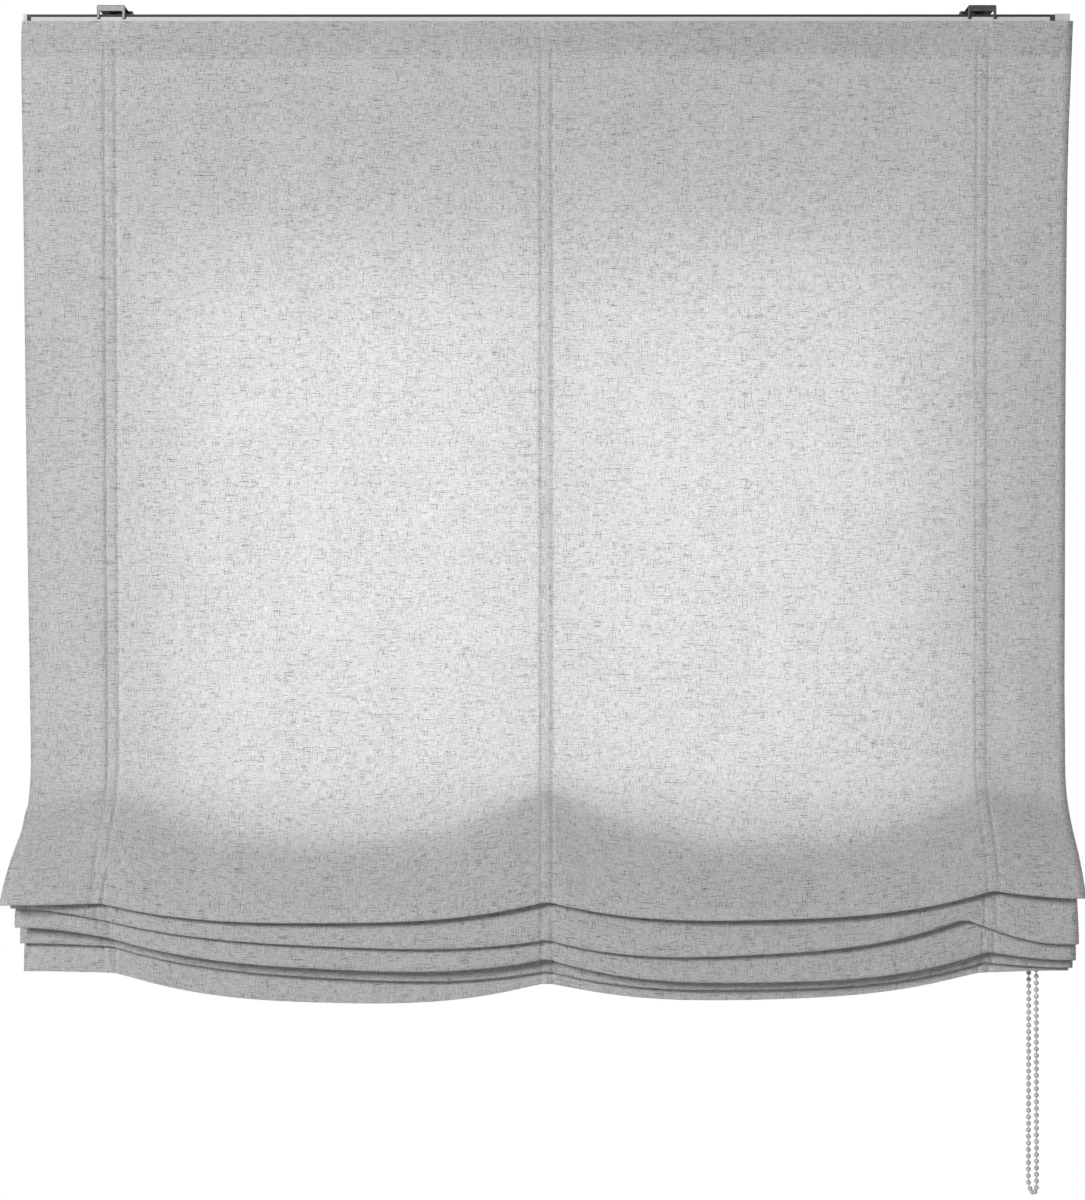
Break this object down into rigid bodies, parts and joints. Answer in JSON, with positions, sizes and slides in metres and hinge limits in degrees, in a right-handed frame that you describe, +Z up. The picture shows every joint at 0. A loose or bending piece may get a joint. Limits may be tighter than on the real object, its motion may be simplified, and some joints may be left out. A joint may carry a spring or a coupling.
{
  "type": "roman blind",
  "caption": "Chain-driven roman blind of grey linen-look cloth, partly raised into soft folds, on a slim headrail with clip brackets.",
  "frame": {"origin": "middle of the ceiling plane that the two brackets are screwed to, halfway between their screws", "axes": "+X along the headrail towards the chain, -Y to the room, +Z up"},
  "size_m": [0.95, 0.0851, 1.0802],
  "materials": {
    "rail_aluminium": "satin white powder coat",
    "hook_strip": "woven hook strip",
    "loop_strip": "woven loop strip",
    "linen": "grey slubbed linen weave",
    "dark_plastic": "matt moulded",
    "white_plastic": "smooth moulded",
    "grey_plastic": "moulded acetal",
    "cradle_plastic": "moulded",
    "spring_steel": "oiled wire",
    "bar_steel": "drawn square bar",
    "chain_beads": "smooth beads on a cord",
    "clear_plastic": "smooth translucent",
    "sewn_tape": "woven tape with two rows of stitches",
    "braided_cord": "braided polyester cord",
    "bracket_steel": "bright zinc-plated sheet steel"
  },
  "bodies": {
    "root": {"headrail": "rail_aluminium", "hook_tape": "hook_strip", "loop_tape": "loop_strip", "fabric": "linen", "idler_plug": "dark_plastic", "end_cap": "white_plastic", "drive_housing": "dark_plastic", "drive_cover": "white_plastic", "drive_hub": "grey_plastic", "wrap_spring": "spring_steel", "bead_chain": "chain_beads", "chain_connector": "clear_plastic", "tape_left": "sewn_tape", "rings_left": "clear_plastic", "cradle_left": "cradle_plastic", "lift_cord_left": "braided_cord", "cord_stop_left": "clear_plastic", "tape_centre": "sewn_tape", "rings_centre": "clear_plastic", "cradle_centre": "cradle_plastic", "lift_cord_centre": "braided_cord", "cord_stop_centre": "clear_plastic", "tape_right": "sewn_tape", "rings_right": "clear_plastic", "cradle_right": "cradle_plastic", "lift_cord_right": "braided_cord", "cord_stop_right": "clear_plastic", "bracket_left": "bracket_steel", "rivet_left": "bracket_steel", "bracket_right": "bracket_steel", "rivet_right": "bracket_steel"},
    "drive": {"shaft_idler": "grey_plastic", "drive_core": "grey_plastic", "sprocket": "grey_plastic", "shaft": "bar_steel", "cord_drum_left": "grey_plastic", "cord_drum_centre": "grey_plastic", "cord_drum_right": "grey_plastic", "cord_winding_left": "braided_cord", "cord_winding_centre": "braided_cord", "cord_winding_right": "braided_cord"},
    "lever_left": {"lever_left": "bracket_steel"},
    "lever_right": {"lever_right": "bracket_steel"}
  },
  "joints": [
    {"name": "drive_turn", "type": "hinge", "parent": "root", "child": "drive", "pos_m": [0, 0, -0.022], "axis": [1, 0, 0], "range_deg": [-3960, 5688]},
    {"name": "lever_left_swing", "type": "hinge", "parent": "root", "child": "lever_left", "pos_m": [-0.394, 0, -0.0025], "axis": [0, 0, 1], "range_deg": [-45, 0]},
    {"name": "lever_right_swing", "type": "hinge", "parent": "root", "child": "lever_right", "pos_m": [0.394, 0, -0.0025], "axis": [0, 0, 1], "range_deg": [0, 45]}
  ]
}
